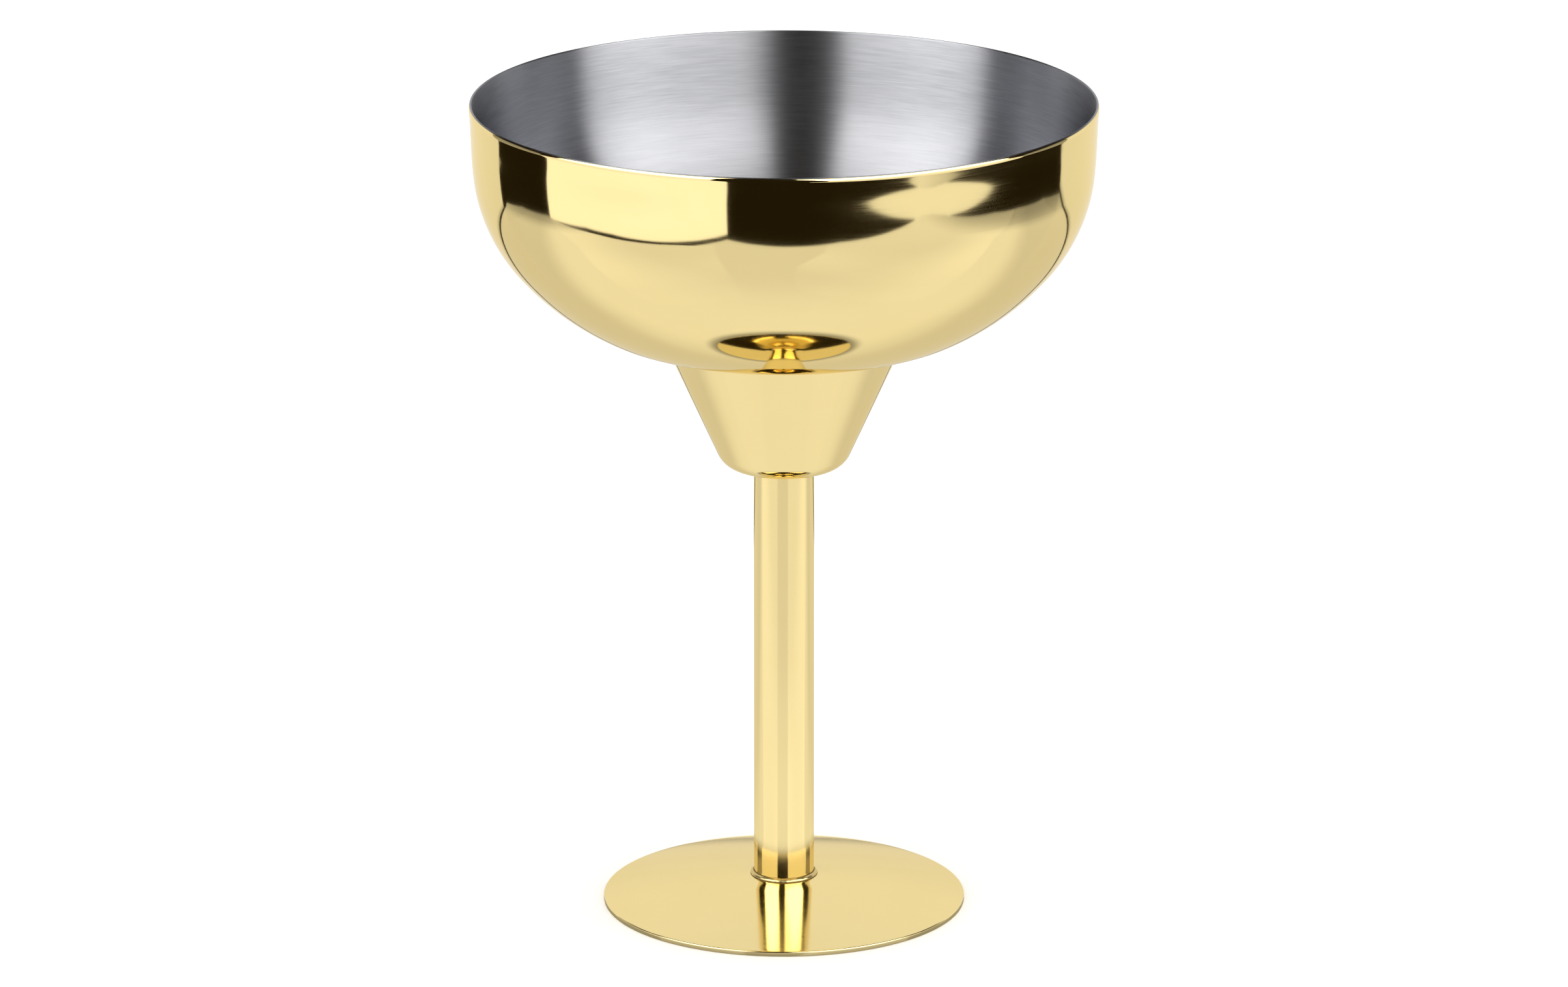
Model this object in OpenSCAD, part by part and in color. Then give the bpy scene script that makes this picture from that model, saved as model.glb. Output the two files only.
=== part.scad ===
// Margarita cup in gold-coated stainless steel.
// A wide drawn bowl and the tapered well under it stand on a tube stem and a thin domed foot.
// Sizes are in millimetres. The cup stands on z = 0 and its axis is z.

/* [Bowl] */
// Outer diameter at the rim
rim_d = 113; // [104:0.5:122]
// Thickness of the sheet that the bowl and the well are drawn from
cup_sheet = 0.6; // [0.4:0.05:1]
// Length of the straight wall below the rim
wall_len = 11.4; // [6:0.1:18]
// Lean of the straight wall from upright, in degrees
wall_lean = 3.2; // [0:0.1:8]
// Outer radius of the shoulder, below the wall
shoulder_r = 30; // [24:0.5:36]
// Angle that the shoulder turns through, in degrees
shoulder_turn = 36.6; // [28:0.2:44]
// Outer radius of the belly, below the shoulder
belly_r = 46.5; // [40:0.5:54]
// Angle that the belly turns through, in degrees
belly_turn = 22; // [14:0.2:28]
// Outer radius of the base, between the belly and the seam
base_r = 23; // [18:0.5:32]

/* [Well] */
// Outer diameter at the seam, where the lines of the base and the well cross
seam_d = 44.3; // [38:0.1:50]
// Height of the well, from its flat bottom to the seam
well_h = 24.8; // [18:0.2:32]
// Outer radius of the corner round the flat bottom
well_corner_r = 4.4; // [2:0.1:6]
// Width of the flat ring left on the bottom, outside the stem's weld
well_ledge = 1.9; // [0.5:0.1:3]

/* [Stem] */
// Length of the tube, from the foot to the well
stem_len = 77.8; // [50:0.2:110]
// Outer diameter of the tube
stem_d = 11; // [8:0.1:14]
// Wall of the tube
stem_wall = 1; // [0.5:0.1:2]

/* [Foot] */
// Diameter of the foot
foot_d = 66.2; // [56:0.2:80]
// Thickness of the sheet
foot_sheet = 1.2; // [0.8:0.05:1.8]
// Depth ground off the underside at the edge, which leaves the flat ring that the cup stands on
foot_grind = 0.2; // [0.1:0.05:0.4]
// Radius of the dome's curve in section
foot_dome_r = 270; // [220:5:340]
// Distance that the centre of this curve lies beyond the axis, which makes the dome slightly pointed
foot_dome_off = 16; // [0:1:24]
// Radius of the hollow curve that draws the dome up to the stem's seat
foot_flare_r = 20; // [8:1:30]
// Height of the stem's seat above the dome at the seat's edge
seat_rise = 0.25; // [0.1:0.05:0.5]
// Width of the flat ring left on the seat, outside the bead
seat_margin = 0.2; // [0.1:0.1:1]

/* [Welds] */
// Radius of the ground weld in the corner under the bowl
seam_weld_r = 0.8; // [0.4:0.1:2]
// Leg of the bead at the top of the stem
top_weld_leg = 0.6; // [0.3:0.1:1.2]
// Leg of the bead at the foot of the stem
foot_weld_leg = 0.7; // [0.3:0.1:1.2]

/* [Hidden] */
gold = [0.93, 0.82, 0.53];
bead_gold = [0.80, 0.68, 0.40];
// Largest turn of one step along an arc of a section, in degrees
arc_step = 1.5;
$fn = 128;

// Sections are drawn in the plane of radius and height, and angles there start at the outward direction
function toward(angle) = [cos(angle), sin(angle)];
function angle_of(v) = atan2(v[1], v[0]);

// Points of an arc from one angle to another; first = 1 leaves out a start that the last arc has drawn
function arc(centre, r, from, to, first = 0) =
    let (steps = ceil(abs(to - from) / arc_step))
    [for (i = [first:steps]) centre + r * toward(from + (to - from) * i / steps)];

// Where two circles cross, on the right of the line from the first centre to the second
function circles_meet(c1, r1, c2, r2) =
    let (gap = norm(c2 - c1))
    let (along = (c2 - c1) / gap)
    let (reach = (gap * gap + r1 * r1 - r2 * r2) / (2 * gap))
    c1 + reach * along + sqrt(r1 * r1 - reach * reach) * [along[1], -along[0]];

// Where a circle crosses, on its lower side, the line with this normal at this distance from its centre
function line_meets(centre, r, normal, distance) =
    centre + distance * normal + sqrt(r * r - distance * distance) * [normal[1], -normal[0]];

// Foot: the round edge rests on the table and touches the dome, and the flare joins the dome to the seat
stem_r = stem_d / 2;
foot_edge_r = (foot_sheet - foot_grind) / 2;
edge_c = [foot_d / 2 - foot_edge_r, foot_edge_r];
dome_drop = sqrt(pow(foot_dome_r - foot_edge_r, 2) - pow(edge_c[0] + foot_dome_off, 2));
dome_c = [-foot_dome_off, edge_c[1] - dome_drop];
edge_a = angle_of(edge_c - dome_c);
seat_r = stem_r + foot_weld_leg + seat_margin;
seat_z = dome_c[1] + sqrt(pow(foot_dome_r, 2) - pow(seat_r + foot_dome_off, 2)) + seat_rise;
flare_c = circles_meet(dome_c, foot_dome_r + foot_flare_r, [seat_r, seat_z], foot_flare_r);
flare_a = angle_of(flare_c - dome_c);
seat_a = angle_of([seat_r, seat_z] - flare_c);
under_dome_r = foot_dome_r - foot_sheet;
under_flare_r = foot_flare_r + foot_sheet;
under_edge_a = asin(-dome_c[1] / under_dome_r);
under_seat_z = seat_z - foot_sheet;
under_seat_a = -180 + asin((flare_c[1] - under_seat_z) / under_flare_r);

// Well: its side runs from the seam and touches the corner round the flat bottom
well_z = seat_z + stem_len;
seam_z = well_z + well_h;
corner_c = [stem_r + top_weld_leg + well_ledge, well_z + well_corner_r];
seam_reach = [seam_d / 2, seam_z] - corner_c;
side_a = angle_of(seam_reach) - acos(well_corner_r / norm(seam_reach));
side_n = toward(side_a);

// Bowl: drawn down from the rim, then lifted so that the base crosses the well's side at the seam
belly_a = -wall_lean - shoulder_turn;
base_a = belly_a - belly_turn;
rim_low = [rim_d / 2 - cup_sheet / 2, 0];
wall_end = rim_low + cup_sheet / 2 * toward(-wall_lean) - wall_len * [sin(wall_lean), cos(wall_lean)];
shoulder_low = wall_end - shoulder_r * toward(-wall_lean);
belly_low = shoulder_low + (shoulder_r - belly_r) * toward(belly_a);
base_low = belly_low + (belly_r - base_r) * toward(base_a);
lift = [0, seam_z - base_low[1] + sqrt(pow(base_r, 2) - pow(seam_d / 2 - base_low[0], 2))];
rim_c = rim_low + lift;
shoulder_c = shoulder_low + lift;
belly_c = belly_low + lift;
base_c = base_low + lift;

// Seam weld: an arc that touches the base and the well's side from outside
side_distance = (corner_c - base_c) * side_n + well_corner_r + seam_weld_r;
weld_c = line_meets(base_c, base_r + seam_weld_r, side_n, side_distance);
seam_a = angle_of(weld_c - base_c);

// The wide bowl, one sheet from the round edge of the rim down to the seam
module bowl_shell() {
    color(gold)
    rotate_extrude()
    polygon(concat(
        arc(rim_c, cup_sheet / 2, 180 - wall_lean, -wall_lean),
        arc(shoulder_c, shoulder_r, -wall_lean, belly_a),
        arc(belly_c, belly_r, belly_a, base_a, first = 1),
        arc(base_c, base_r, base_a, seam_a, first = 1),
        arc(base_c, base_r - cup_sheet, seam_a, base_a),
        arc(belly_c, belly_r - cup_sheet, base_a, belly_a, first = 1),
        arc(shoulder_c, shoulder_r - cup_sheet, belly_a, -wall_lean, first = 1)));
}

// The weld that fills the corner between the bowl's lower edge and the well's upper edge, ground smooth
module bowl_seam_weld() {
    color(bead_gold)
    rotate_extrude()
    polygon(concat(
        arc(weld_c, seam_weld_r, seam_a + 180, side_a + 180),
        arc(weld_c, seam_weld_r + cup_sheet, side_a + 180, seam_a + 180)));
}

// The tapered well, closed by the flat bottom that the stem carries
module well_cup() {
    color(gold)
    rotate_extrude()
    polygon(concat(
        [weld_c - seam_weld_r * side_n],
        arc(corner_c, well_corner_r, side_a, -90),
        [[0, well_z], [0, well_z + cup_sheet]],
        arc(corner_c, well_corner_r - cup_sheet, -90, side_a),
        [weld_c - (seam_weld_r + cup_sheet) * side_n]));
}

// A round bead in the corner between the tube and a flat face below it
module weld_bead(leg) {
    rotate_extrude()
    translate([stem_r, 0])
    intersection() {
        circle(r = leg);
        square(leg);
    }
}

module stem_top_weld() {
    color(bead_gold)
    translate([0, 0, well_z])
    mirror([0, 0, 1])
    weld_bead(top_weld_leg);
}

// The tube stands on the foot's seat, and its upper end carries the well
module stem_tube() {
    color(gold)
    rotate_extrude()
    translate([stem_r - stem_wall, seat_z])
    square([stem_wall, stem_len]);
}

module foot_weld() {
    color(bead_gold)
    translate([0, 0, seat_z])
    weld_bead(foot_weld_leg);
}

// The domed disc: seat, flare, dome and round edge above, and the same curves one sheet lower below
module foot_plate() {
    color(gold)
    rotate_extrude()
    polygon(concat(
        [[0, seat_z]],
        arc(flare_c, foot_flare_r, seat_a, flare_a - 180),
        arc(dome_c, foot_dome_r, flare_a, edge_a, first = 1),
        arc(edge_c, foot_edge_r, edge_a, -90, first = 1),
        arc(dome_c, under_dome_r, under_edge_a, flare_a),
        arc(flare_c, under_flare_r, flare_a - 180, under_seat_a, first = 1),
        [[0, under_seat_z]]));
}

bowl_shell();
bowl_seam_weld();
well_cup();
stem_top_weld();
stem_tube();
foot_weld();
foot_plate();
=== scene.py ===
# %% [markdown]
# # A gold-coated margarita cup
# The cup is drawn from steel sheet: a wide bowl, a tapered well under it, a tube stem and a thin domed
# foot. A thin gold-coloured coat covers the outside, and the inside is left as bare brushed steel. The
# engineering model already has every piece at its real size. A polished surface shows each facet of such a
# model, though, so this lesson spins every piece again, far finer, and then gives it its finish. The frame
# is loaded first, and its box is kept.

# %% Load the frame
from math import acos, asin, atan2, ceil, cos, degrees, pi, radians, sin, sqrt

import bpy
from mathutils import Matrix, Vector


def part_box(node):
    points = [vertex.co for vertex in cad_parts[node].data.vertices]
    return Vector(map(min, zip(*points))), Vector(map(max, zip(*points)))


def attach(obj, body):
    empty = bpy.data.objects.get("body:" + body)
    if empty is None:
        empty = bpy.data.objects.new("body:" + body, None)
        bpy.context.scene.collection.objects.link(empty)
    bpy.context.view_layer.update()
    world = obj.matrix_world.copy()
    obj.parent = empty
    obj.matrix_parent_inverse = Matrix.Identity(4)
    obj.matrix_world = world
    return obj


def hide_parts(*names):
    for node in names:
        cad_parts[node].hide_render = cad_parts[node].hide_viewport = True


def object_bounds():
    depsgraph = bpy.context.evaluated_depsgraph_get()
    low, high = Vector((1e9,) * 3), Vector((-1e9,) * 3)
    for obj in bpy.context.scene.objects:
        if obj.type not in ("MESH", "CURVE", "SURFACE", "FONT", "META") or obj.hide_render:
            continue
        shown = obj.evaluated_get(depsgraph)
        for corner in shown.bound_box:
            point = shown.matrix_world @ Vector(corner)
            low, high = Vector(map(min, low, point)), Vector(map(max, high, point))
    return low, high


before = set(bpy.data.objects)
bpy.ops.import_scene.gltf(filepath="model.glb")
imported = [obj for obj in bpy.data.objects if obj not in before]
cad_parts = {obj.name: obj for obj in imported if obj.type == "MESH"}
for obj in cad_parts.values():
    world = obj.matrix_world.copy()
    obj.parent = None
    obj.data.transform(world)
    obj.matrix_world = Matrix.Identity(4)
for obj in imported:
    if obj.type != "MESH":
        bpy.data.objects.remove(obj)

cad_low, cad_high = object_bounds()
bpy.ops.object.select_all(action="DESELECT")
print("nodes in the frame:", sorted(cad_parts))

# %% [markdown]
# ## Outlines
# Every piece of the cup is round, so each one is drawn as half of its section: points of radius and height.
# Straight runs and arcs are all that a press tool or a spinning lathe leaves behind, so two short functions
# draw everything. Angles start at the outward direction and are in degrees. The fine step along an arc is
# what keeps a reflection smooth.

# %% Draw runs and arcs
MM = 0.001
ARC_STEP = 1.2
RUN_STEP = 0.9 * MM


def toward(angle):
    return Vector((cos(radians(angle)), sin(radians(angle))))


def angle_of(arrow):
    return degrees(atan2(arrow.y, arrow.x))


def arc(centre, radius, start, end, step=ARC_STEP):
    count = max(2, ceil(abs(end - start) / step))
    return [centre + radius * toward(start + (end - start) * i / count) for i in range(count + 1)]


def run(start, end):
    count = max(1, ceil((end - start).length / RUN_STEP))
    return [start.lerp(end, i / count) for i in range(count + 1)]


print("arcs turn by at most", ARC_STEP, "degrees a step")

# %% [markdown]
# ## From an outline to a piece
# On a lathe the blank turns against a tool. Here a point is pulled along the outline, and the line that it
# leaves is spun round the axis. A plane merged at its centre is the usual way to get that first point. The
# spin leaves doubled points along its seam and on the axis, so those are merged before the faces are turned
# outwards. Shading stays sharp only where two faces meet at a real corner.

# %% Spin a piece
SPIN_STEPS = 240
MERGE_GAP = 0.002 * MM
CORNER = radians(35)


def pull_line(name, points):
    """A new piece, left in edit mode, whose edges run through the points."""
    bpy.ops.object.select_all(action="DESELECT")
    bpy.ops.mesh.primitive_plane_add(size=MM, location=points[0])
    piece = bpy.context.object
    piece.name = name
    piece.data.name = name
    bpy.ops.object.transform_apply(location=True, rotation=True, scale=True)
    bpy.ops.object.mode_set(mode="EDIT")
    bpy.ops.mesh.select_all(action="SELECT")
    bpy.ops.mesh.merge(type="CENTER")
    for here, there in zip(points, points[1:]):
        bpy.ops.mesh.extrude_region_move(TRANSFORM_OT_translate={"value": there - here})
    bpy.ops.mesh.select_all(action="SELECT")
    return piece


def spin_piece(name, outline, steps=SPIN_STEPS):
    piece = pull_line(name, [Vector((point.x, 0, point.y)) for point in outline])
    bpy.ops.mesh.spin(steps=steps, angle=2 * pi, center=(0, 0, 0), axis=(0, 0, 1))
    bpy.ops.mesh.select_all(action="SELECT")
    bpy.ops.mesh.remove_doubles(threshold=MERGE_GAP)
    bpy.ops.mesh.normals_make_consistent(inside=False)
    bpy.ops.object.mode_set(mode="OBJECT")
    bpy.ops.object.shade_smooth_by_angle(angle=CORNER)
    print(name, "has", len(piece.data.polygons), "faces")
    return piece


print("pieces are spun in", SPIN_STEPS, "steps")

# %% [markdown]
# ## The foot's dome
# The foot is a disc stamped into a shallow dome, with a narrow flat seat on top where the stem stands. Its
# height and its diameter come from the frame, and the radii of its press tool are repeated here. The dome's
# curve has its centre a little beyond the axis, which makes the disc slightly pointed, and a wide hollow
# curve draws it up to the seat. The centre of that hollow is where two circles meet.

# %% Draw the dome and the seat
foot_sheet = 1.2 * MM
foot_grind = 0.2 * MM
foot_dome_r = 270 * MM
foot_dome_off = 16 * MM
foot_flare_r = 20 * MM
seat_margin = 0.2 * MM

stem_low, stem_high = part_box("stem_tube")
foot_low, foot_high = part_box("foot_plate")
foot_bead_low, foot_bead_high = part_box("foot_weld")
stem_r = stem_high.x
foot_r = foot_high.x
seat = Vector((foot_bead_high.x + seat_margin, foot_high.z))
edge_r = (foot_sheet - foot_grind) / 2
dome_drop = sqrt((foot_dome_r - edge_r) ** 2 - (foot_r - edge_r + foot_dome_off) ** 2)
dome_c = Vector((-foot_dome_off, edge_r - dome_drop))


def circles_meet(centre, radius, other, other_r):
    between = other - centre
    gap = between.length
    reach = (gap ** 2 + radius ** 2 - other_r ** 2) / (2 * gap)
    along = between / gap
    return centre + reach * along + sqrt(radius ** 2 - reach ** 2) * Vector((along.y, -along.x))


flare_c = circles_meet(dome_c, foot_dome_r + foot_flare_r, seat, foot_flare_r)
flare_a = angle_of(flare_c - dome_c)
seat_a = angle_of(seat - flare_c)
print("the hollow ends %.2f mm from the axis, and the seat is %.2f mm up" % (
    (dome_c + foot_dome_r * toward(flare_a)).x / MM, seat.y / MM))

# %% [markdown]
# ## The foot's edge
# The disc was cut out and its edge polished: a round shoulder above, a short upright band, and a hair of a
# round where the band meets the ground ring that the cup stands on. The shoulder touches the dome from
# inside, so its centre lies one dome radius less one shoulder radius from the dome's centre. Under the disc
# runs the same dome, one sheet lower.

# %% Draw the edge and spin the foot
shoulder_round_r = 0.28 * MM
ground_round_r = 0.14 * MM
shoulder_step, ground_step = 6, 15

shoulder_x = foot_r - shoulder_round_r
shoulder_rise = sqrt((foot_dome_r - shoulder_round_r) ** 2 - (shoulder_x + foot_dome_off) ** 2)
edge_c = Vector((shoulder_x, dome_c.y + shoulder_rise))
edge_a = angle_of(edge_c - dome_c)
ground_c = Vector((foot_r - ground_round_r, ground_round_r))

under_r = foot_dome_r - foot_sheet
under_edge_a = degrees(asin(-dome_c.y / under_r))
under_seat_z = seat.y - foot_sheet
under_seat_a = -180 + degrees(asin((flare_c.y - under_seat_z) / (foot_flare_r + foot_sheet)))
dome_step = degrees(RUN_STEP / foot_dome_r)

foot_outline = [Vector((0, seat.y))] + arc(flare_c, foot_flare_r, seat_a, flare_a - 180)
foot_outline += arc(dome_c, foot_dome_r, flare_a, edge_a, dome_step)[1:]
foot_outline += arc(edge_c, shoulder_round_r, edge_a, 0, shoulder_step)[1:]
foot_outline += arc(ground_c, ground_round_r, 0, -90, ground_step)
foot_outline += arc(dome_c, under_r, under_edge_a, flare_a, dome_step)
foot_outline += arc(flare_c, foot_flare_r + foot_sheet, flare_a - 180, under_seat_a)[1:]
foot = spin_piece("foot_disc", foot_outline + [Vector((0, under_seat_z))])

# %% [markdown]
# ## The stem
# The stem is a cut length of tube. Its ends are covered by the weld beads, so a plain section is enough,
# but a saw cut always has its sharp edge broken: the corners get a small bevel. A ring of steps along its
# length lets the polish and its reflections run evenly.

# %% Draw the stem
stem_wall = 1.0 * MM
broken_edge = 0.08 * MM
bore_r = stem_r - stem_wall
bottom, top = stem_low.z, stem_high.z

outside = run(Vector((stem_r, bottom + broken_edge)), Vector((stem_r, top - broken_edge)))
bore = run(Vector((bore_r, top - broken_edge)), Vector((bore_r, bottom + broken_edge)))
upper_cut = [Vector((stem_r - broken_edge, top)), Vector((bore_r + broken_edge, top))]
lower_cut = [Vector((bore_r + broken_edge, bottom)), Vector((stem_r - broken_edge, bottom))]
stem = spin_piece("stem_tube_polished", outside + upper_cut + bore + lower_cut + outside[:1])

# %% [markdown]
# ## The well's lines
# The well is a small cup drawn from the same sheet as the bowl: a straight taper, a round corner and a flat
# bottom that the stem carries. The taper's lean follows from the place of the seam above and of the corner
# below, found with the tangent from a point to a circle.

# %% Place the well
cup_sheet = 0.6 * MM
seam_d = 44.3 * MM
well_height = 24.8 * MM
well_corner_r = 4.4 * MM
well_ledge = 1.9 * MM

well_low, well_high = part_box("well_cup")
top_bead_low, top_bead_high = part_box("stem_top_weld")
floor_r = top_bead_high.x + well_ledge
corner_c = Vector((floor_r, well_low.z + well_corner_r))
seam = Vector((seam_d / 2, well_low.z + well_height))
seam_reach = seam - corner_c
side_a = angle_of(seam_reach) - degrees(acos(well_corner_r / seam_reach.length))
side_n = toward(side_a)
print("the well leans by %.1f degrees" % -side_a)

# %% [markdown]
# ## The bowl's lines
# The bowl is spun over a former, from a short upright wall at the rim through three rounds that tighten
# towards the seam. Each round starts where the last one ends and in the same direction, so its centre lies
# on the line from that point through the last centre.

# %% Place the bowl
wall_len = 11.4 * MM
wall_lean = 3.2
shoulder_r = 30 * MM
shoulder_turn = 36.6
belly_r = 46.5 * MM
belly_turn = 22
base_r = 23 * MM

bowl_low, bowl_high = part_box("bowl_shell")
lip_r = cup_sheet / 2
rim_c = Vector((bowl_high.x - lip_r, bowl_high.z - lip_r))
wall_foot = rim_c + lip_r * toward(-wall_lean) + wall_len * toward(-90 - wall_lean)
shoulder_c = wall_foot - shoulder_r * toward(-wall_lean)
belly_a = -wall_lean - shoulder_turn
base_a = belly_a - belly_turn
belly_c = shoulder_c + (shoulder_r - belly_r) * toward(belly_a)
base_c = belly_c + (belly_r - base_r) * toward(base_a)
print("the wall starts %.2f mm up" % (wall_foot.y / MM))

# %% [markdown]
# ## The wall and its lip
# A spun wall is never dead straight. This one leaves the shoulder early, leans least in its middle and a
# little more below the rim, and its edge was rolled in and polished round. That is a few hundredths of a
# millimetre, yet polished metal shows it at once: a straight wall would mirror a light as an even strip,
# and this one closes it to an eye shape. The lean falls along a parabola, is eased between a few heights
# above, and is added up step by step. Heights here are in millimetres along the wall, and leans are in
# degrees.

# %% Bend the wall
bend_lean, least_lean, least_at = 5.2, 2.1, 7.7
upper_leans = ((least_at, least_lean), (11.4, 3.7), (11.9, 3.7))
lip_leans = ((12.45, -14), (12.8, -50), (12.95, -90))
outer_step, inner_step, inner_end = 0.065, 0.3, 12.4


def lean_at(height, leans):
    if height < least_at:
        return least_lean + (bend_lean - least_lean) * (1 - height / least_at) ** 2
    for (low, lean), (high, next_lean) in zip(leans, leans[1:]):
        if height <= high:
            share = (height - low) / (high - low)
            return lean + (next_lean - lean) * share * share * (3 - 2 * share)
    return leans[-1][1]


def bent_wall(start, leans, length, step):
    points = [start]
    count = ceil(length / step)
    for i in range(count):
        height = (i + 0.5) * length / count
        points.append(points[-1] + length / count * MM * toward(90 - lean_at(height, leans)))
    return points


bend_start = shoulder_c + shoulder_r * toward(-bend_lean)
outer_wall = bent_wall(bend_start, upper_leans + lip_leans, lip_leans[-1][0], outer_step)
stretch = (bowl_high.z - bend_start.y) / (outer_wall[-1].y - bend_start.y)
outer_wall = [bend_start + (point - bend_start) * stretch for point in outer_wall]
crown = outer_wall[-1]
inner_wall = bent_wall(bend_start - cup_sheet * toward(-bend_lean), upper_leans, inner_end, inner_step)
inner_top = inner_wall[-1]
inner_round = [Vector((crown.x + (inner_top.x - crown.x) * cos(radians(a)), inner_top.y
                       + (crown.y - inner_top.y) * sin(radians(a)))) for a in range(0, 91, 9)]
rim_r = max(point.x for point in outer_wall)
print("the rim is %.2f mm across, stretched by %.4f" % (2 * rim_r / MM, stretch))

# %% [markdown]
# ## The seam weld
# Where the well hangs from the bowl, a weld was run round the corner and ground to a small round. Its arc
# touches the bowl's base and the well's side, so its centre lies one weld radius off both of them.

# %% Place the seam weld
seam_weld_r = 0.8 * MM

side_distance = (corner_c - base_c).dot(side_n) + well_corner_r + seam_weld_r
down_the_side = Vector((side_n.y, -side_n.x))
weld_drop = sqrt((base_r + seam_weld_r) ** 2 - side_distance ** 2)
weld_c = base_c + side_distance * side_n + weld_drop * down_the_side
seam_a = angle_of(weld_c - base_c)
print("the seam is %.2f mm up" % (weld_c.y / MM))

# %% [markdown]
# ## Spinning the bowl
# With every centre known, the bowl is one outline that closes on itself: down the outside from the crown of
# the lip, through the three rounds to the seam, and back up the inside, one sheet further in.

# %% Spin the bowl
bowl_outline = outer_wall[::-1]
bowl_outline += arc(shoulder_c, shoulder_r, -bend_lean, belly_a)[1:]
bowl_outline += arc(belly_c, belly_r, belly_a, base_a)[1:]
bowl_outline += arc(base_c, base_r, base_a, seam_a)[1:]
bowl_outline += arc(base_c, base_r - cup_sheet, seam_a, base_a)
bowl_outline += arc(belly_c, belly_r - cup_sheet, base_a, belly_a)[1:]
bowl_outline += arc(shoulder_c, shoulder_r - cup_sheet, belly_a, -bend_lean)[1:]
bowl_outline += inner_wall[1:] + inner_round[1:-1]
bowl = spin_piece("bowl_sheet", bowl_outline + bowl_outline[:1])

# %% [markdown]
# ## Spinning the weld and the well
# The weld and the well are closed outlines too. They meet the bowl and each other face to face, as the
# solids of the frame do. The well's line starts and ends at the weld and crosses the axis on its flat
# floor, where the spin brings all its copies to one point.

# %% Spin the weld and the well
weld_outline = arc(weld_c, seam_weld_r, seam_a + 180, side_a + 180)
weld_outline += arc(weld_c, seam_weld_r + cup_sheet, side_a + 180, seam_a + 180)
seam_weld = spin_piece("seam_weld_ground", weld_outline + weld_outline[:1])

inner_corner_r = well_corner_r - cup_sheet
inner_floor_z = well_low.z + cup_sheet
well_outline = run(weld_c - seam_weld_r * side_n, corner_c + well_corner_r * side_n)
well_outline += arc(corner_c, well_corner_r, side_a, -90)[1:]
well_outline += run(Vector((floor_r, well_low.z)), Vector((0, well_low.z)))[1:]
well_outline += run(Vector((0, inner_floor_z)), Vector((floor_r, inner_floor_z)))
well_outline += arc(corner_c, inner_corner_r, -90, side_a)[1:]
well_outline += run(corner_c + inner_corner_r * side_n, weld_c - (seam_weld_r + cup_sheet) * side_n)[1:]
well = spin_piece("well_sheet", well_outline + well_outline[:1])

# %% [markdown]
# ## The weld beads of the stem
# A bead of weld metal runs round each end of the stem. It is a quarter round in section, and it was laid by
# hand, so it swells and shrinks a little as it goes round. The ring is spun with few steps, its round face
# is shaken with a seeded random move, and subdivision turns that into soft lumps. The two lines where the
# bead meets the tube and the plate are creased, so that they stay where they are.

# %% Lay the beads
BEAD_STEPS = 80
BEAD_SHAKE = 0.05 * MM
BEAD_LEVELS = 2
TOE_CORNER = radians(50)
round_step = 18


def lay_bead(name, level, leg, up):
    corner = Vector((stem_r, level))
    quarter = arc(Vector((0, 0)), leg, 0, 90, round_step)
    round_face = [corner + Vector((point.x, up * point.y)) for point in quarter]
    bead = spin_piece(name, [corner] + round_face + [corner], BEAD_STEPS)
    bpy.ops.object.mode_set(mode="EDIT")
    bpy.ops.mesh.select_mode(type="EDGE")
    bpy.ops.mesh.select_all(action="DESELECT")
    bpy.ops.mesh.edges_select_sharp(sharpness=TOE_CORNER)
    bpy.ops.transform.edge_crease(value=1)
    bpy.ops.mesh.select_mode(type="VERT")
    bpy.ops.mesh.select_all(action="INVERT")
    bpy.ops.transform.vertex_random(offset=BEAD_SHAKE, uniform=0, normal=1, seed=3)
    bpy.ops.object.mode_set(mode="OBJECT")
    soften = bead.modifiers.new("soften", "SUBSURF")
    soften.levels = BEAD_LEVELS
    soften.render_levels = BEAD_LEVELS
    bpy.ops.object.modifier_apply(modifier=soften.name)
    bpy.ops.object.shade_smooth_by_angle(angle=CORNER)
    print(name, "is softened to", len(bead.data.polygons), "faces")
    return bead


foot_bead = lay_bead("foot_bead", seat.y, foot_bead_high.x - stem_r, up=1)
top_bead = lay_bead("well_bead", well_low.z, top_bead_high.x - stem_r, up=-1)

# %% [markdown]
# ## Shader sums
# A finish is built from shader nodes. Wiring each Math node by hand hides the idea, so one small class
# holds a socket and turns ordinary sums into Math nodes. Its one other method adds any node: the settings
# are made first, and then each input gets a number or a wire.

# %% Wrap a socket
class Wire:
    def __init__(self, tree, socket=None):
        self.tree = tree
        self.socket = socket

    def add(self, kind, settings=None, inputs=None, output=0):
        node = self.tree.nodes.new(kind)
        for name, value in (settings or {}).items():
            setattr(node, name, value)
        for name, value in (inputs or {}).items():
            if isinstance(value, Wire):
                self.tree.links.new(value.socket, node.inputs[name])
            else:
                node.inputs[name].default_value = value
        return Wire(self.tree, node.outputs[output]) if node.outputs else node

    def maths(self, operation, first, second=0.0):
        return self.add("ShaderNodeMath", {"operation": operation}, {0: first, 1: second})

    def __add__(self, other):
        return self.maths("ADD", self, other)

    def __sub__(self, other):
        return self.maths("SUBTRACT", self, other)

    def __rsub__(self, other):
        return self.maths("SUBTRACT", other, self)

    def __mul__(self, other):
        return self.maths("MULTIPLY", self, other)

    def __truediv__(self, other):
        return self.maths("DIVIDE", self, other)

    def __rtruediv__(self, other):
        return self.maths("DIVIDE", other, self)

    __radd__ = __add__
    __rmul__ = __mul__


print("a Wire turns sums into Math nodes")

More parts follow.
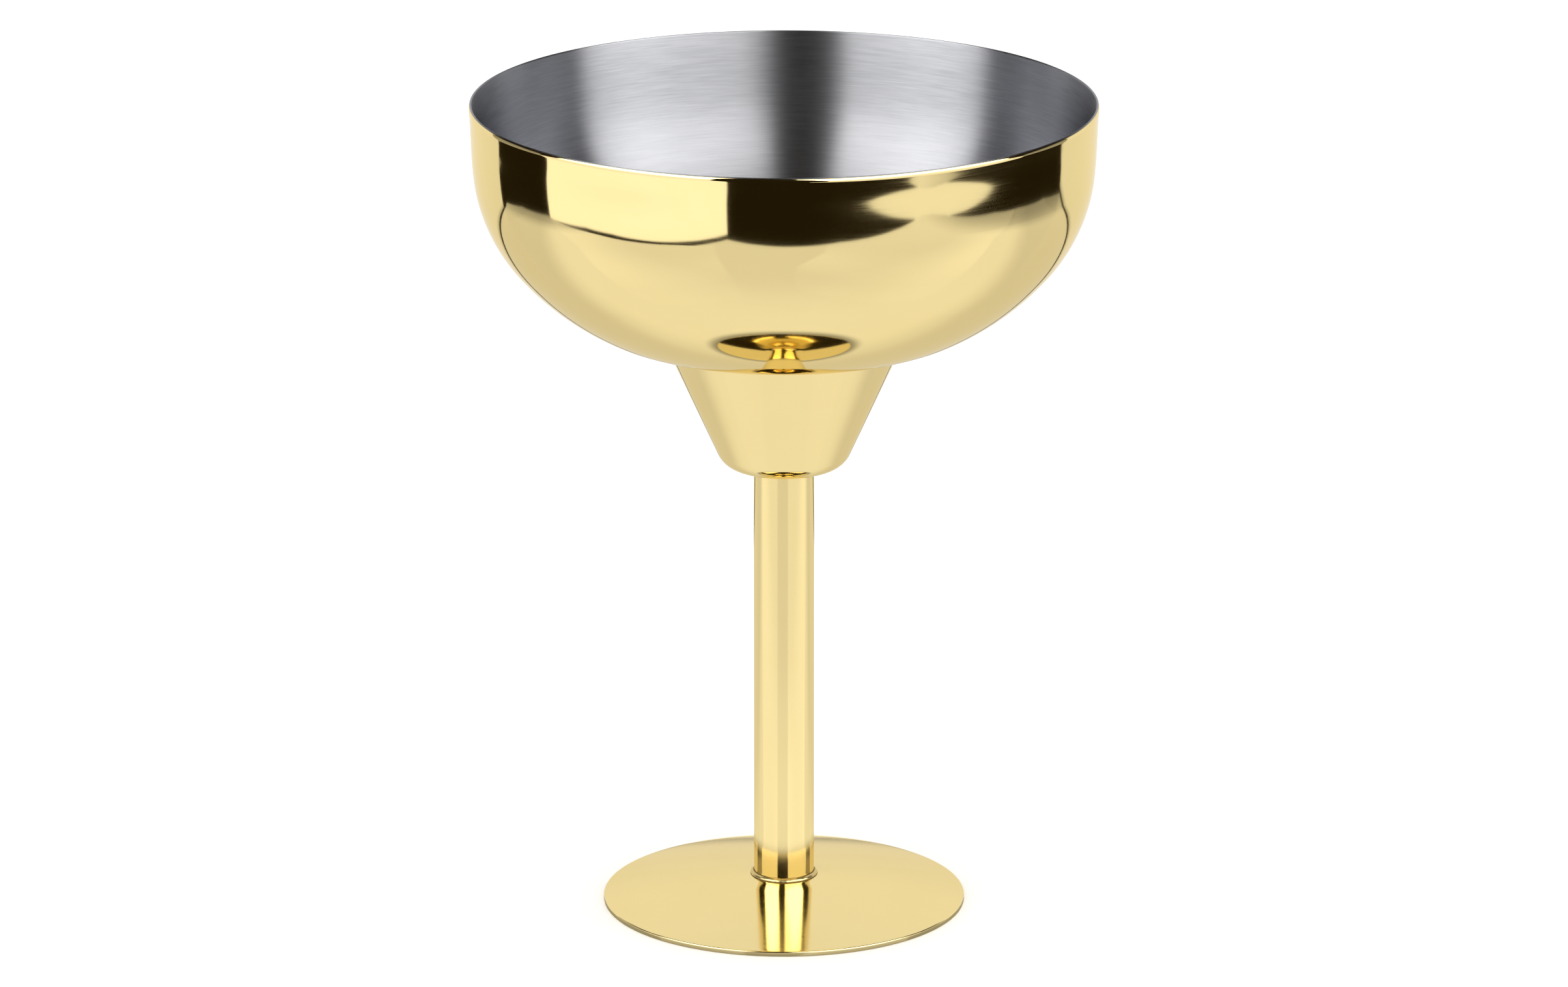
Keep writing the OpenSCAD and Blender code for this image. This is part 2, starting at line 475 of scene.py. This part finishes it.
# %% [markdown]
# ## Patterns
# Every surface here was polished while the piece turned, so its fine scratches run round the axis. The
# pattern is noise read at a made-up place: the direction from the axis, which changes slowly, and the
# height and the radius, which change fast. The lines then break up along their way as real scratches do,
# and no seam shows, because a direction has no start or end. A plain cloud of noise serves for what has no
# direction.

# %% Make the patterns
RADIUS_SHARE = 0.73


def new_finish(name):
    material = bpy.data.materials.new(name)
    material.use_nodes = True
    material.node_tree.nodes.clear()
    return material, Wire(material.node_tree)


def place_on(sheet):
    """The x, y and z of the point, and its distance from the axis."""
    place = sheet.add("ShaderNodeTexCoord", output="Object")
    x, y, z = (sheet.add("ShaderNodeSeparateXYZ", None, {0: place}, axis) for axis in "XYZ")
    return x, y, z, sheet.maths("SQRT", x * x + y * y + 1e-9)


def turned_lines(sheet, round_count, line_count):
    """Noise from 0 to 1 in lines round the axis: about line_count lines a metre, broken round_count times."""
    x, y, z, radius = place_on(sheet)
    drawn_out = {"X": x / radius * round_count, "Y": y / radius * round_count,
                 "Z": (z + radius * RADIUS_SHARE) * line_count}
    spot = sheet.add("ShaderNodeCombineXYZ", None, drawn_out)
    return sheet.add("ShaderNodeTexNoise", None, {"Vector": spot, "Scale": 1.0, "Detail": 3.0})


def cloud(sheet, count):
    place = sheet.add("ShaderNodeTexCoord", output="Object")
    return sheet.add("ShaderNodeTexNoise", None, {"Vector": place, "Scale": count, "Detail": 2.0})


def tone(sheet, factor, low, high):
    settings = {"data_type": "RGBA", "clamp_factor": True}
    return sheet.add("ShaderNodeMix", settings, {0: factor, 6: (*low, 1), 7: (*high, 1)}, output=2)


def dress(sheet, inputs):
    shader = sheet.add("ShaderNodeBsdfPrincipled", None, inputs)
    sheet.add("ShaderNodeOutputMaterial", None, {"Surface": shader})


print("patterns ready: turned lines and clouds")

# %% [markdown]
# ## The gold coat
# The coat is a nitride laid on polished steel in a vacuum, so it mirrors as the steel under it does and
# only tints the light. Its colour is a little paler where the coat is thin, and the polish left faint lines
# and a slight waviness. Most metals go white at a glancing angle, and this coat hardly does, so its edge
# tint is only a paler gold. The bowl has the best polish, and the stem and the foot are a little softer.

# %% Mix the gold
GOLD_LIGHT = (0.90, 0.745, 0.38)
GOLD_DEEP = (0.855, 0.70, 0.34)
GOLD_EDGE = (0.965, 0.90, 0.71, 1)
POLISH_BREAKS, POLISH_LINES = 6.0, 5200.0
WAVE_COUNT = 90.0


def gold_coat(name, polish, line_depth, wave_depth):
    material, sheet = new_finish(name)
    lines = turned_lines(sheet, POLISH_BREAKS, POLISH_LINES)
    wave = cloud(sheet, WAVE_COUNT)
    colour = tone(sheet, wave * 0.7 + lines * 0.3, GOLD_DEEP, GOLD_LIGHT)
    roughness = polish + (lines - 0.5) * polish * 0.9 + (wave - 0.5) * polish * 0.5
    rippled = sheet.add("ShaderNodeBump", None, {"Strength": 1.0, "Distance": wave_depth, "Height": wave})
    lined = sheet.add("ShaderNodeBump", None, {"Strength": 1.0, "Distance": line_depth, "Height": lines,
                                               "Normal": rippled})
    dress(sheet, {"Base Color": colour, "Metallic": 1.0, "Roughness": roughness, "Normal": lined,
                  "Specular Tint": GOLD_EDGE})
    return material


bowl_gold = gold_coat("gold_bowl", polish=0.055, line_depth=0.00003 * MM, wave_depth=0.004 * MM)
stem_gold = gold_coat("gold_stem", polish=0.10, line_depth=0.0001 * MM, wave_depth=0.001 * MM)
foot_gold = gold_coat("gold_foot", polish=0.10, line_depth=0.0001 * MM, wave_depth=0.004 * MM)
print("gold finishes:", bowl_gold.name, stem_gold.name, foot_gold.name)

# %% [markdown]
# ## The coat on the beads
# The beads were brushed but not polished out, so their coat is rougher and darker. Along both toes, where a
# bead meets the tube and the plate, a thin dark line of painted shade is laid into the colour for the
# creases.
# A point's height over the plate and its distance from the tube tell how close it is to a toe: the smaller
# of the two.

# %% Mix the bead's gold
# The dark toe colour is painted shade for the creases where a bead meets the tube and the plate.
PAINTED_TOE_SHADE = (0.10, 0.065, 0.018)
BEAD_DEEP = (0.60, 0.47, 0.20)
BEAD_LIGHT = (0.75, 0.595, 0.28)
GRAIN_COUNT, PATCH_COUNT = 2600.0, 500.0
GRAIN_DEPTH = 0.006 * MM


def ramp(sheet, value, start, end, low, high):
    """A smooth change from low to high as the value goes from start to end."""
    settings = {"interpolation_type": "SMOOTHSTEP"}
    return sheet.add("ShaderNodeMapRange", settings, {"Value": value, "From Min": start, "From Max": end,
                                                      "To Min": low, "To Max": high})


def bead_coat(name, level, leg):
    material, sheet = new_finish(name)
    x, y, z, radius = place_on(sheet)
    from_plate = sheet.maths("ABSOLUTE", z - level)
    from_toe = sheet.maths("MINIMUM", from_plate, radius - stem_r) / leg
    grain = cloud(sheet, GRAIN_COUNT)
    # This mask is 0 at the toes and 1 away from them: near the toes the colour goes to painted shade and the
    # coat is rougher.
    clear_of_toe_shade = ramp(sheet, from_toe + (grain - 0.5) * 0.25, 0.05, 0.42, 0.0, 1.0)
    brushed = tone(sheet, cloud(sheet, PATCH_COUNT), BEAD_DEEP, BEAD_LIGHT)
    mix = {"data_type": "RGBA", "clamp_factor": True}
    colour = sheet.add("ShaderNodeMix", mix, {0: clear_of_toe_shade, 6: (*PAINTED_TOE_SHADE, 1), 7: brushed}, output=2)
    rough = sheet.add("ShaderNodeBump", None, {"Strength": 1.0, "Distance": GRAIN_DEPTH, "Height": grain})
    dress(sheet, {"Base Color": colour, "Metallic": 1.0, "Roughness": 0.42 - clear_of_toe_shade * 0.16, "Normal": rough,
                  "Specular Tint": GOLD_EDGE})
    return material


foot_bead_gold = bead_coat("gold_foot_bead", seat.y, foot_bead_high.x - stem_r)
top_bead_gold = bead_coat("gold_top_bead", well_low.z, top_bead_high.x - stem_r)
print("bead finishes:", foot_bead_gold.name, top_bead_gold.name)

# %% [markdown]
# ## The bare steel inside
# The inside was masked from the coat and brushed with an abrasive pad while it turned. Brushed metal
# spreads light across its lines and hardly along them, which is why the bright studio lights become upright
# bands. The shader's anisotropy does that, turned a quarter so that it spreads across the lines. At a
# glancing angle the grooves shade each other, so the edge tint is darker than a polished steel would have.

# %% Mix the steel
STEEL_DARK = (0.402, 0.41, 0.435)
STEEL_LIGHT = (0.56, 0.571, 0.605)
STEEL_SPREAD = 1.0
QUARTER_TURN = 0.25
STEEL_EDGE = (0.62, 0.62, 0.64, 1)
FINE_BREAKS, FINE_LINES = 9.0, 4200.0
BROAD_BREAKS, BROAD_LINES = 5.0, 1300.0
GROOVE_DEPTH = 0.0006 * MM


def brushed_steel(name):
    material, sheet = new_finish(name)
    fine = turned_lines(sheet, FINE_BREAKS, FINE_LINES)
    broad = turned_lines(sheet, BROAD_BREAKS, BROAD_LINES)
    lines = fine * 0.7 + broad * 0.3
    colour = tone(sheet, (lines - 0.5) * 2.2 + 0.5, STEEL_DARK, STEEL_LIGHT)
    roughness = 0.36 + (fine - 0.5) * 0.12
    grooved = sheet.add("ShaderNodeBump", None, {"Strength": 1.0, "Distance": GROOVE_DEPTH, "Height": fine})
    dress(sheet, {"Base Color": colour, "Metallic": 1.0, "Roughness": roughness, "Normal": grooved,
                  "Anisotropic": STEEL_SPREAD, "Anisotropic Rotation": QUARTER_TURN,
                  "Specular Tint": STEEL_EDGE})
    return material


steel = brushed_steel("steel_brushed")
print("steel finish:", steel.name)

# %% [markdown]
# ## Finishes on the pieces
# Each piece gets its finish, rides on the one rigid body and stands for its node of the frame. The bowl,
# the seam weld and the well carry two finishes: a face that looks towards a point over the mouth is inside
# and stays steel, and every other face is coated.

# %% Dress the pieces
OVER_THE_MOUTH = Vector((0, 0, cad_high.z + 60 * MM))


def finish_piece(piece, node, coat, inside=None):
    piece.data.materials.append(coat)
    if inside:
        piece.data.materials.append(inside)
        for face in piece.data.polygons:
            looks_in = face.normal.dot(OVER_THE_MOUTH - face.center) > 0
            face.material_index = 1 if looks_in else 0
    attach(piece, "root")
    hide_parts(node)
    print(piece.name, "stands for", node)


finish_piece(foot, "foot_plate", foot_gold)
finish_piece(foot_bead, "foot_weld", foot_bead_gold)
finish_piece(stem, "stem_tube", stem_gold)
finish_piece(top_bead, "stem_top_weld", top_bead_gold)
finish_piece(well, "well_cup", bowl_gold, inside=steel)
finish_piece(seam_weld, "bowl_seam_weld", bowl_gold, inside=steel)
finish_piece(bowl, "bowl_shell", bowl_gold, inside=steel)

# %% [markdown]
# ## The floor and its lamp
# The camera sees only a plain pale floor. One broad lamp overhead lights it evenly, so that the cup leaves
# just a soft shadow at its foot. Mirrored rays pass both by, because the metal gets a studio of its own.

# %% Lay the floor and light it
bpy.ops.object.select_all(action="DESELECT")
bpy.ops.mesh.primitive_plane_add(size=12, location=(0, 0, 0))
floor = bpy.context.object
floor.name = "pale_floor"
floor_paint, sheet = new_finish("pale_floor")
floor_tone = tone(sheet, cloud(sheet, 40.0), (0.90, 0.90, 0.895), (0.94, 0.94, 0.935))
dress(sheet, {"Base Color": floor_tone, "Roughness": 0.9, "Specular IOR Level": 0.0})
floor.data.materials.append(floor_paint)
floor.visible_glossy = False

bpy.ops.object.light_add(type="AREA", location=(0, 0, 2.2))
lamp = bpy.context.object
lamp.name = "overhead_lamp"
lamp.data.shape = "DISK"
lamp.data.size = 2.4
lamp.data.energy = 28
lamp.visible_glossy = False
print("the floor is", floor.name, "and the lamp is", lamp.data.size, "m wide")

# %% [markdown]
# ## The surround
# A white surround fills in the light on the floor. For mirrored rays it is a dark room instead, because a
# photographer keeps the room dark around polished metal. The kind of ray tells which of the two is wanted.

# %% Set the surround
DARK_ROOM = (0.016, 0.011, 0.004, 1)
world = bpy.data.worlds.new("studio")
bpy.context.scene.world = world
world.use_nodes = True
world.node_tree.nodes.clear()
sky = Wire(world.node_tree)
mirrored = sky.add("ShaderNodeLightPath", output="Is Glossy Ray")
room = sky.add("ShaderNodeMix", {"data_type": "RGBA"}, {0: mirrored, 6: (1, 1, 1, 1), 7: DARK_ROOM}, output=2)
surround = sky.add("ShaderNodeBackground", None, {"Color": room, "Strength": 1.0})
sky.add("ShaderNodeOutputWorld", None, {"Surface": surround})
print("the surround is white, and dark for mirrored rays")

# %% [markdown]
# ## Cards for the metal to mirror
# A polished cup has hardly any look of its own: it shows the studio. So the studio is built as a
# photographer would build it, from flat cards that glow and that only mirrored rays can see. A card is a
# line pulled through its corners and filled. Its glow may change over it, as a real soft box is brightest
# in its middle, and then a function draws it. An even glow is just a number.

# %% Make a card
WARM_WHITE = (1.0, 0.985, 0.96)


def studio_card(name, corners, glow, gloss=0.0, clear_from_above=False):
    card = pull_line(name, corners)
    bpy.ops.mesh.edge_face_add()
    bpy.ops.object.mode_set(mode="OBJECT")
    material, sheet = new_finish(name)
    if callable(glow):
        strength = {0: WARM_WHITE, "Scale": glow(sheet)}
        light = sheet.add("ShaderNodeVectorMath", {"operation": "SCALE"}, strength)
    else:
        light = (*(glow * part for part in WARM_WHITE), 1)
    looks = {"Base Color": (0, 0, 0, 1), "Roughness": 0.05, "Specular IOR Level": gloss,
             "Emission Color": light, "Emission Strength": 1.0}
    if clear_from_above:
        looks["Alpha"] = 1 - sheet.add("ShaderNodeNewGeometry", output="Backfacing")
        if card.data.polygons[0].normal.z > 0:
            card.data.flip_normals()
    dress(sheet, looks)
    card.data.materials.append(material)
    for way in ("camera", "diffuse", "shadow", "transmission", "volume_scatter"):
        setattr(card, "visible_" + way, False)
    print(name, "has", len(corners), "corners")


print("cards glow in the warm white", WARM_WHITE)

# %% [markdown]
# ## The table
# The cup stands on a small white table with blunt corners. Its edge is close, and beyond it the room is
# dark, which gives the bowl its deep band. The corner at the right reaches furthest, so the band is pinched
# there. The table is a little darker in front, at the back, towards both ends and close under the foot,
# where less light comes in.

# %% Set up the table
table_level = -0.2 * MM
table_front = ((-0.425, 0.025), (-0.365, -0.102), (-0.131, -0.368), (0.126, -0.358), (0.350, -0.307))
table_right = ((0.374, -0.281), (0.391, -0.246), (0.442, -0.081),
               (0.455, 0.017), (0.455, 0.132), (0.428, 0.222))
table_left = ((-0.390, 0.222), (-0.420, 0.140))


def table_glow(sheet):
    x, y, z, radius = place_on(sheet)
    front = ramp(sheet, y, -0.19, -0.06, 0.86, 1.0)
    back = ramp(sheet, y, -0.01, 0.06, 1.0, 0.76)
    ends = ramp(sheet, sheet.maths("ABSOLUTE", x), 0.33, 0.44, 1.0, 0.4)
    return front * back * ends * ramp(sheet, radius, 0.0325, 0.041, 0.3, 1.0)


table_edge = [Vector((x, y, table_level)) for x, y in table_front + table_right + table_left]
studio_card("table_top", table_edge, table_glow, gloss=0.08)

# %% [markdown]
# ## The wall behind
# A low white wall stands behind the table. The foot and the two pale strips at the sides of the bowl show
# it. It is shaded where it meets the table, and it fades upwards, so that the steel inside stays dark at
# its sides.

# %% Set up the wall
wall_y = 0.228
wall_left, wall_right, wall_low, wall_top = -0.355, 0.44, 0.002, 0.3


def wall_glow(sheet):
    x, y, z, radius = place_on(sheet)
    shade = ramp(sheet, z, wall_low, 0.012, 0.55, 0.9) + ramp(sheet, z, 0.01, 0.10, 0.0, 0.07)
    return shade * ramp(sheet, z, 0.20, 0.26, 1.0, 0.12)


wall_corners = [Vector((wall_left, wall_y, wall_low)), Vector((wall_right, wall_y, wall_low)),
                Vector((wall_right, wall_y, wall_top)), Vector((wall_left, wall_y, wall_top))]
studio_card("white_wall", wall_corners, wall_glow)

# %% [markdown]
# ## The soft boxes
# Two tall soft boxes stand in front, one on each side, and the gap between them is what the bowl shows as
# its dark middle. They face the cup, so each is drawn in its own plane, across and up, and turned to its
# place. They are wider at the foot than at the middle, and the light is strongest well above the table.

# %% Set up the soft boxes
def facing(azimuth, distance, outline):
    """Corners of an upright card that faces the cup; azimuth 0 is the camera's side, and 90 the right."""
    a = radians(azimuth)
    middle = distance * Vector((sin(a), -cos(a), 0))
    across = Vector((cos(a), sin(a), 0))
    return [middle + x * across + Vector((0, 0, z)) for x, z in outline]


def box_glow(at_foot):
    def glow(sheet):
        x, y, z, radius = place_on(sheet)
        low_part = ramp(sheet, z, -0.04, 0.02, at_foot, 1.12)
        return low_part + ramp(sheet, z, 0.14, 0.36, 0.0, 3.6) - ramp(sheet, z, 0.42, 0.60, 0.0, 2.2)
    return glow


left_outline = ((-0.400, -0.097), (-0.178, -0.072), (-0.062, -0.072), (0.390, -0.110), (0.429, -0.112),
                (0.429, -0.03), (0.358, 0.02), (0.358, 0.22), (0.395, 0.50), (0.40, 0.98),
                (-0.28, 0.98), (-0.28, 0.20), (-0.400, 0.10))
left_corners = facing(azimuth=-58, distance=0.55, outline=left_outline)
studio_card("left_soft_box", left_corners, box_glow(at_foot=1.3))
right_outline = ((-0.560, -0.052), (0.521, -0.052), (0.521, 0.10), (0.39, 0.20), (0.37, 0.98), (-0.65, 0.98),
                 (-0.646, 0.50), (-0.45, 0.22), (-0.45, 0.02), (-0.560, -0.02))
right_corners = facing(azimuth=52, distance=0.60, outline=right_outline)
studio_card("right_soft_box", right_corners, box_glow(at_foot=1.04))

# %% [markdown]
# ## The side cards
# Between the wall and each soft box a gap is left, and it would draw a black line along the foot's thin
# edge. A dim low card in each gap softens that line. Both hang clear of the table, so that the bowl doesn't
# show them.

# %% Set up the side cards
side_low, side_top = 0.032, 0.19


def side_glow(sheet):
    x, y, z, radius = place_on(sheet)
    return ramp(sheet, z, side_low, side_top, 0.42, 0.28)


for side_name, near, far in (("left_side_card", (wall_left, wall_y), (-0.678, 0.048)),
                             ("right_side_card", (wall_right, wall_y), (0.794, 0.041))):
    low_edge = [Vector((*near, side_low)), Vector((*far, side_low))]
    studio_card(side_name, low_edge + [Vector((*far, side_top)), Vector((*near, side_top))], side_glow)

# %% [markdown]
# ## The card behind the bowl
# The underside of the bowl shows the foot as a small dark disc whose far half is pale, so something pale
# hangs behind the bowl. This card lies level, just below the rim, where the steel inside can't see it. It
# glows downwards only: from above it is clear, so that the bowl's sides look past it to the wall.

# %% Hang the card behind the bowl
hung_level, hung_light = 0.13, 0.95
hung_half = ((0.03, 0.063), (0.05, 0.055), (0.1, 0.046), (0.15, 0.042), (0.15, 0.15))
hung_outline = hung_half + tuple((-x, y) for x, y in reversed(hung_half))
hung_corners = [Vector((x, y, hung_level)) for x, y in hung_outline]
studio_card("hung_card", hung_corners, hung_light, clear_from_above=True)

# %% [markdown]
# ## The camera
# The camera stands about a metre and a half in front of the cup and looks a little down into the bowl. The
# long lens keeps the rim's ellipse slim. Its place was worked out from the ellipses of the rim and the
# foot.

# %% Place the camera
camera_place = (0, -1.4318, 0.4975)
camera_pitch = 16.355
bpy.ops.object.camera_add(location=camera_place, rotation=(radians(90 - camera_pitch), 0, 0))
camera = bpy.context.object
camera.name = "camera"
camera.data.sensor_width = 36
camera.data.lens = 188.84
bpy.context.scene.camera = camera
bpy.context.scene.view_settings.view_transform = "Standard"
print("the lens is", camera.data.lens, "mm long")
